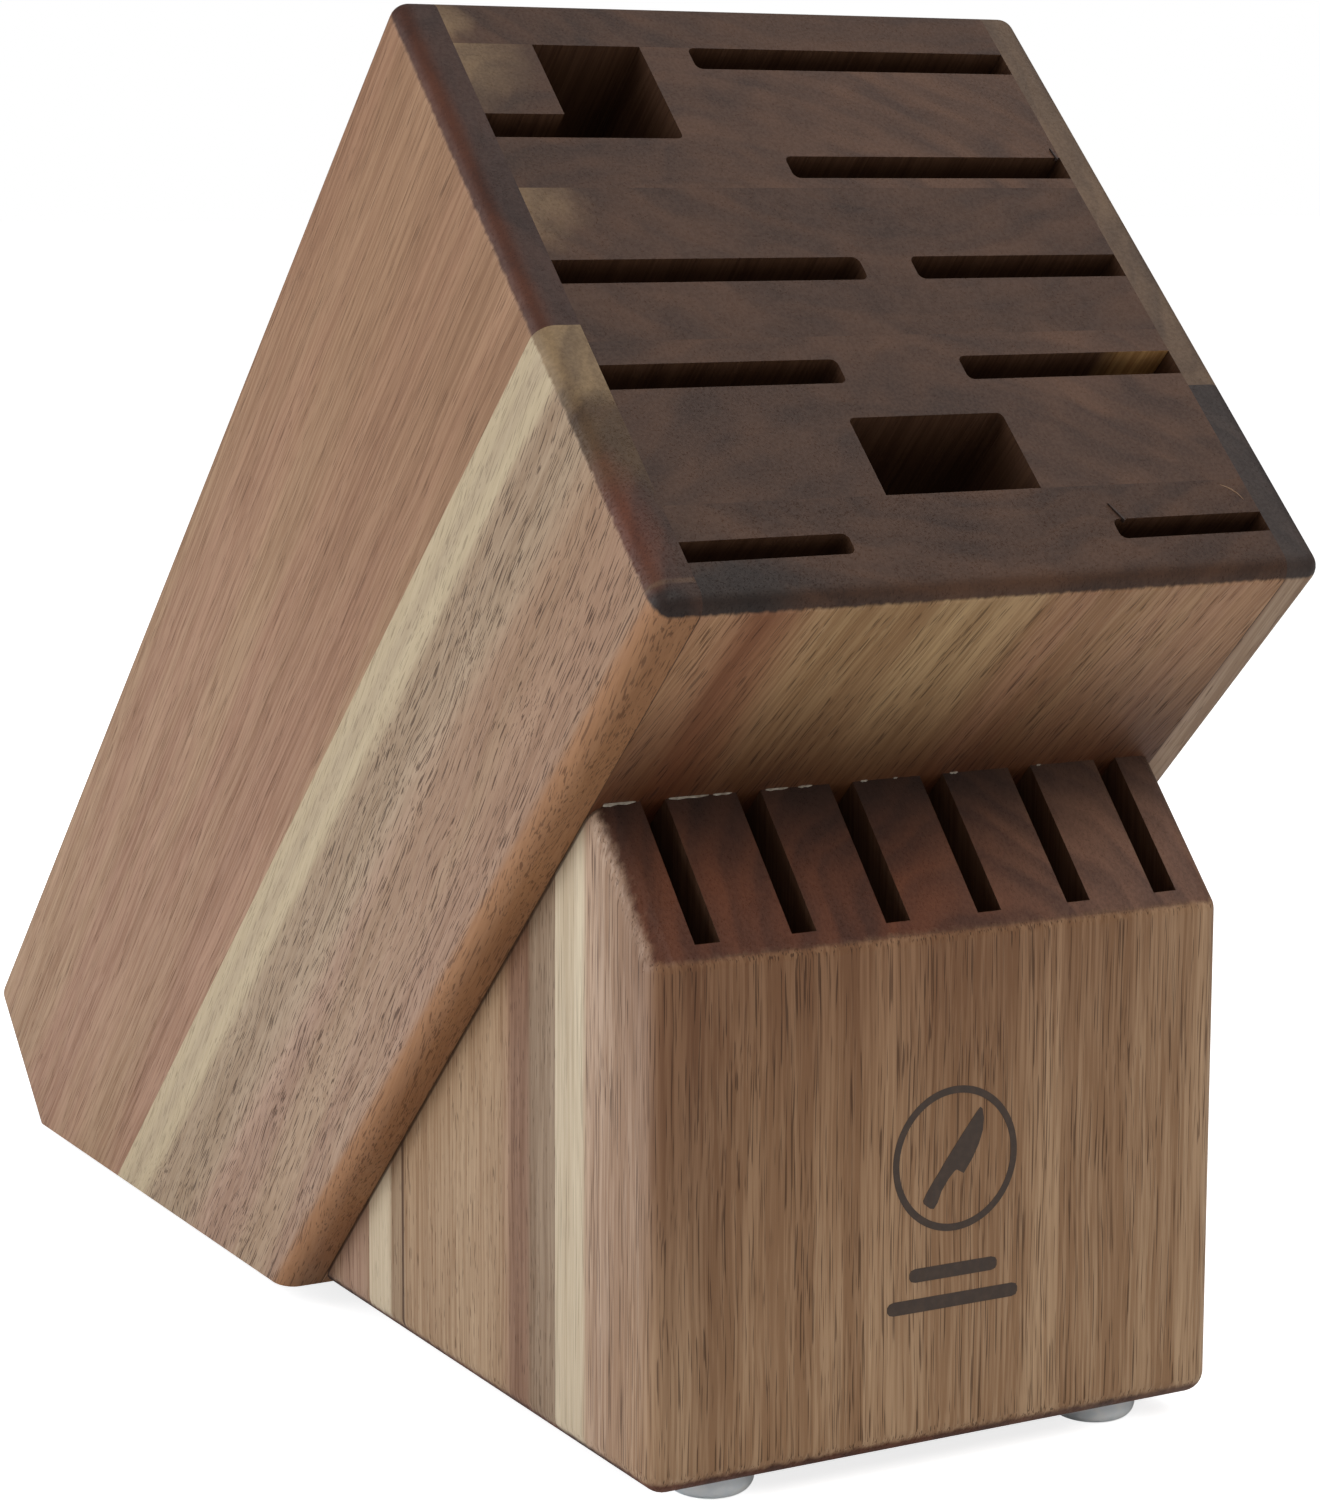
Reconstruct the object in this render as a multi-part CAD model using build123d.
"""Slanted countertop knife block, without knives.

A beam of glued boards leans back at an angle on a wedge-shaped base. Knife slots are sawn into the beam's core from
both sides and closed by the side panels. Steak-knife grooves are sawn into the slope of the base and closed by the
beam. Millimetres, +X right, +Y to the rear, +Z up. The origin is centred under the block, at the feet's undersides.
"""

from build123d import *

import math
import os

# Beam: the core's width and boards, counted from the rear face to the front face
core_width = 100.0
rear_board = 10.3
stock_board = 30.6
front_board = 17.8
panel_thickness = 7.0
beam_length = 273.4
beam_tilt = 45.0
beam_round = 3.0

# Joint lines of the two-board side panels, measured down the slot face from its rear edge
left_joint_at_face = 68.2
left_joint_at_tail = 63.2
right_joint = 83.2

# Knife slots: the place of each across the slot face is its inner end, from the middle of the core
slot_thickness = 4.7
small_slot_thickness = 3.7
slot_end_round = 1.2
row_1_inner = -9.4
row_2_inner = -1.7
row_2_cover = 2.1
row_3_offset = 14.6
row_3_left_inner = 2.3
row_3_right_inner = 11.5
row_4_offset = 4.5
row_4_left_inner = -10.5
row_4_right_inner = 10.8
row_5_offset = 6.5
row_5_inner = 22.8

# Pockets: the square one opens to a narrow slot on its left
steel_pocket_left = -36.6
steel_pocket_width = 18.7
steel_pocket_depth = 20.1
steel_slot_thickness = 5.0
shears_pocket_width = 26.8
shears_pocket_depth = 14.7
pocket_round = 1.0

# Base: a wedge with a ledge in front of the beam, of three boards from front to rear
base_depth = 116.4
base_round = 3.5
base_front_board = 29.9
base_rear_board = 20.0
ledge_angle = 48.5
face_overhang = 45.6

# Steak-knife grooves in the slope of the base
groove_count = 6
groove_width = 4.2
groove_depth = 24.2
groove_margin = 7.65
groove_lip = 2.9

# Feet: soft bumpers on adhesive discs
foot_radius = 6.75
foot_height = 3.4
foot_round = 2.4
adhesive_radius = 6.2
adhesive_thickness = 0.4
foot_side_inset = 15.4
foot_front_inset = 10.4

# How far cutting tools run past what they cut
clear = 5.0

# Sizes that follow from the ones above
base_width = core_width
beam_width = core_width + 2 * panel_thickness
beam_thickness = rear_board + 3 * stock_board + front_board
underside = foot_height + adhesive_thickness
tilt_cos = math.cos(math.radians(beam_tilt))
tilt_sin = math.sin(math.radians(beam_tilt))
ledge_cos = math.cos(math.radians(ledge_angle))
ledge_sin = math.sin(math.radians(ledge_angle))
ledge_length = (groove_depth + groove_lip) / (tilt_sin * ledge_cos + tilt_cos * ledge_sin)
base_front_height = (tilt_sin * base_depth - groove_depth - groove_lip) / tilt_cos
half_core = core_width / 2
half_beam = beam_width / 2
far = 4 * beam_length

# Rear faces of the core boards, measured down the slot face
upper_board_start = rear_board
middle_board_start = upper_board_start + stock_board
lower_board_start = middle_board_start + stock_board
front_board_start = lower_board_start + stock_board

# Rear walls of the slot rows, measured down the slot face
row_1 = upper_board_start
row_2 = middle_board_start - row_2_cover - slot_thickness
row_3 = middle_board_start + row_3_offset
row_4 = lower_board_start + row_4_offset
row_5 = front_board_start + row_5_offset
steel_slot = upper_board_start + steel_pocket_depth - steel_slot_thickness
shears_pocket = front_board_start - shears_pocket_depth


def face_corner():
    """Return y and z of the slot face's rear edge, with y counted from the front of the base."""
    crease_y = ledge_length * ledge_cos
    crease_z = underside + base_front_height + ledge_length * ledge_sin
    lower_y = crease_y - face_overhang * tilt_cos
    lower_z = crease_z + face_overhang * tilt_sin
    return lower_y + beam_thickness * tilt_sin, lower_z + beam_thickness * tilt_cos


def middle_of_depth():
    """Return y of the middle of the whole block, with y counted from the front of the base."""
    corner_y = face_corner()[0]
    tip = beam_round * (tilt_sin + tilt_cos - 1)
    front = min(0.0, corner_y - beam_thickness * tilt_sin + tip)
    rear = corner_y + beam_length * tilt_cos - tip
    return (front + rear) / 2


# Places in the block's own frame
base_front = -middle_of_depth()
corner_y = base_front + face_corner()[0]
corner_z = face_corner()[1]
beam_plane = Plane(
    origin=(0, corner_y, corner_z),
    x_dir=(1, 0, 0),
    z_dir=(0, tilt_cos, -tilt_sin),
)


def beam_point(down, along):
    """Return y and z of a point of the beam, from its distances down the slot face and along the beam."""
    return (
        corner_y - tilt_sin * down + tilt_cos * along,
        corner_z - tilt_cos * down - tilt_sin * along,
    )


def underside_y(down):
    """Return y where a plane of the beam, at a distance down the slot face, meets the underside."""
    along = (corner_z - tilt_cos * down - underside) / tilt_sin
    return beam_point(down, along)[0]


def upright_box(x, y, z):
    """Return a box from three (low, high) pairs in the block's frame."""
    return Pos(x[0], y[0], z[0]) * Box(x[1] - x[0], y[1] - y[0], z[1] - z[0], align=Align.MIN)


def beam_box(across, down, along):
    """Return a box from three (low, high) pairs in the beam's frame."""
    return beam_plane.location * upright_box(across, down, along)


def side_prism(outline, x_low, x_high):
    """Return the solid over an outline of (y, z) points, from one x to another."""
    edge = Polyline(*[(x_low, y, z) for y, z in outline], close=True)
    return extrude(make_face(edge), amount=x_high - x_low, dir=(1, 0, 0))


def single(shape):
    """Return the one solid of a shape."""
    solids = shape.solids()
    if len(solids) != 1:
        raise ValueError(f"expected one solid, got {len(solids)}")
    return solids[0]


def below_underside():
    """Return the space below the wood."""
    return upright_box((-far, far), (-far, far), (-far, underside))


def beam_envelope():
    """Return the whole beam without slots: a box with rounded edges, cut flat underneath."""
    whole = upright_box((-half_beam, half_beam), (0, beam_thickness), (0, beam_length))
    whole = fillet(whole.edges(), beam_round)
    return beam_plane.location * whole - below_underside()


def side_slot(rear_wall, thickness, inner_end, side):
    """Return the space of a slot sawn in from one side of the core, with a rounded inner end."""
    outer_end = side * (half_core + clear)
    across = sorted((inner_end, outer_end))
    down = (rear_wall, rear_wall + thickness)
    slot = upright_box(across, down, (-clear, beam_length + clear))
    ends = slot.edges().filter_by(Axis.Z).group_by(Axis.X)
    inner = ends[0] if side > 0 else ends[-1]
    return beam_plane.location * fillet(inner, slot_end_round)


def pocket(across, down, floor):
    """Return the space of a pocket cut into a board's face, with a rounded floor on the low or high side."""
    space = upright_box(across, down, (-clear, beam_length + clear))
    walls = space.edges().filter_by(Axis.Z).group_by(Axis.Y)
    return beam_plane.location * fillet(walls[floor], pocket_round)


def core_board(envelope, start, end, spaces):
    """Return one board of the core, less the slots and pockets cut into it."""
    board = envelope & beam_box((-half_core, half_core), (start, end), (-clear, beam_length + clear))
    for space in spaces:
        board = board - space
    return single(board)


def corner_strip(envelope):
    """Return the strip left of the steel pocket, which its narrow slot parts from the upper board."""
    across = (-half_core, steel_pocket_left)
    return single(envelope & beam_box(across, (upper_board_start, steel_slot), (-clear, beam_length + clear)))


def core_boards(envelope):
    """Return the core's boards by name."""
    right = 1
    left = -1
    steel_right = steel_pocket_left + steel_pocket_width
    steel = pocket(
        (steel_pocket_left, steel_right),
        (upper_board_start - clear, upper_board_start + steel_pocket_depth),
        -1,
    )
    shears = pocket(
        (-shears_pocket_width / 2, shears_pocket_width / 2),
        (shears_pocket, front_board_start + clear),
        0,
    )
    corner = beam_box(
        (-half_core - clear, steel_pocket_left + clear),
        (upper_board_start - clear, upper_board_start + steel_pocket_depth),
        (-clear, beam_length + clear),
    )
    upper = [
        side_slot(row_1, slot_thickness, row_1_inner, right),
        side_slot(row_2, slot_thickness, row_2_inner, right),
        corner,
        steel,
    ]
    middle = [
        side_slot(row_3, slot_thickness, row_3_left_inner, left),
        side_slot(row_3, slot_thickness, row_3_right_inner, right),
    ]
    lower = [
        side_slot(row_4, slot_thickness, row_4_left_inner, left),
        side_slot(row_4, slot_thickness, row_4_right_inner, right),
        shears,
    ]
    front = [
        side_slot(row_5, small_slot_thickness, -row_5_inner, left),
        side_slot(row_5, small_slot_thickness, row_5_inner, right),
    ]
    return {
        "core_rear_board": core_board(envelope, -clear, upper_board_start, []),
        "core_upper_board": core_board(envelope, upper_board_start, middle_board_start, upper),
        "core_middle_board": core_board(envelope, middle_board_start, lower_board_start, middle),
        "core_lower_board": core_board(envelope, lower_board_start, front_board_start, lower),
        "core_front_board": core_board(envelope, front_board_start, beam_thickness + clear, front),
        "core_corner_strip": corner_strip(envelope),
    }


def panel_board(envelope, across, face_span, tail_span):
    """Return a board of a side panel, from its spans down the slot face at the face and at the tail."""
    slope = [(tail - face) / beam_length for face, tail in zip(face_span, tail_span)]
    outline = [
        beam_point(face_span[0] - slope[0] * clear, -clear),
        beam_point(face_span[1] - slope[1] * clear, -clear),
        beam_point(tail_span[1] + slope[1] * clear, beam_length + clear),
        beam_point(tail_span[0] + slope[0] * clear, beam_length + clear),
    ]
    return single(envelope & side_prism(outline, *across))


def side_panels(envelope):
    """Return the two boards of each side panel by name."""
    left = (-half_beam - clear, -half_core)
    right = (half_core, half_beam + clear)
    top = -clear
    bottom = beam_thickness + clear
    left_joint = (left_joint_at_face, left_joint_at_tail)
    return {
        "left_panel_rear_board": panel_board(envelope, left, (top, left_joint[0]), (top, left_joint[1])),
        "left_panel_front_board": panel_board(envelope, left, (left_joint[0], bottom), (left_joint[1], bottom)),
        "right_panel_rear_board": panel_board(envelope, right, (top, right_joint), (top, right_joint)),
        "right_panel_front_board": panel_board(envelope, right, (right_joint, bottom), (right_joint, bottom)),
    }


def base_envelope():
    """Return the base without grooves: rounded on its outer edges and cut to the slope of the beam."""
    ledge_run = ledge_length + clear
    ledge_front_z = underside + base_front_height
    ledge_end_y = base_front + ledge_run * ledge_cos
    ledge_end_z = ledge_front_z + ledge_run * ledge_sin
    far_y = base_front + base_depth + clear
    outline = [
        (base_front, underside),
        (base_front, ledge_front_z),
        (ledge_end_y, ledge_end_z),
        (far_y, ledge_end_z),
        (far_y, underside),
    ]
    block = side_prism(outline, -base_width / 2, base_width / 2)
    outer = [
        edge
        for edge in block.edges()
        if edge.center().Y < far_y - 1 and edge.bounding_box().min.Z < ledge_front_z + 1
    ]
    block = fillet(outer, base_round)
    return block - beam_box((-far, far), (-far, beam_thickness), (-far, far))


def groove(number):
    """Return the space of one steak-knife groove, counted from the left."""
    pitch = (base_width - 2 * groove_margin - groove_width) / (groove_count - 1)
    left_wall = -base_width / 2 + groove_margin + number * pitch
    across = (left_wall, left_wall + groove_width)
    return beam_box(across, (beam_thickness - clear, beam_thickness + groove_depth), (-far, far))


def base_boards():
    """Return the base's three boards by name, with the grooves sawn through them."""
    wedge = base_envelope()
    for number in range(groove_count):
        wedge = wedge - groove(number)
    cuts = [
        base_front - clear,
        base_front + base_front_board,
        base_front + base_depth - base_rear_board,
        base_front + base_depth + clear,
    ]
    names = ["base_front_board", "base_middle_board", "base_rear_board"]
    boards = {}
    for name, low, high in zip(names, cuts, cuts[1:]):
        board = wedge & upright_box((-far, far), (low, high), (-far, far))
        boards[name] = Compound(children=board.solids()) if len(board.solids()) > 1 else single(board)
    return boards


def foot(x, y):
    """Return one bumper foot, rounded underneath."""
    centre = (Align.CENTER, Align.CENTER, Align.MIN)
    bumper = Pos(x, y, 0) * Cylinder(foot_radius, foot_height, align=centre)
    rim = bumper.edges().group_by(Axis.Z)[0]
    return single(fillet(rim, foot_round))


def foot_adhesive(x, y):
    """Return the adhesive disc between a foot and the wood."""
    centre = (Align.CENTER, Align.CENTER, Align.MIN)
    return single(Pos(x, y, foot_height) * Cylinder(adhesive_radius, adhesive_thickness, align=centre))


def rear_foot_y():
    """Return y of the rear feet: in the rearmost gap between slot rows where a whole foot meets flat wood."""
    tail_down = (corner_z - tilt_sin * beam_length - underside) / tilt_cos
    rows = [row_2, row_3, row_4, row_5]
    places = [underside_y((low + slot_thickness + high) / 2) for low, high in zip(rows, rows[1:])]
    return max(y for y in places if y + foot_radius < underside_y(tail_down))


def feet():
    """Return the four feet and their adhesive discs by name."""
    side = base_width / 2 - foot_side_inset
    front = base_front + foot_front_inset
    rear = rear_foot_y()
    places = {
        "front_left": (-side, front),
        "front_right": (side, front),
        "rear_left": (-side, rear),
        "rear_right": (side, rear),
    }
    parts = {}
    for place, (x, y) in places.items():
        parts[f"foot_{place}"] = foot(x, y)
        parts[f"foot_adhesive_{place}"] = foot_adhesive(x, y)
    return parts


def main():
    """Build every piece and write one STEP file for each."""
    envelope = beam_envelope()
    parts = {}
    parts.update(core_boards(envelope))
    parts.update(side_panels(envelope))
    parts.update(base_boards())
    parts.update(feet())
    os.makedirs("parts", exist_ok=True)
    for name, shape in parts.items():
        shape.label = name
        export_step(shape, f"parts/{name}.step")
        print(name, round(shape.volume))


main()
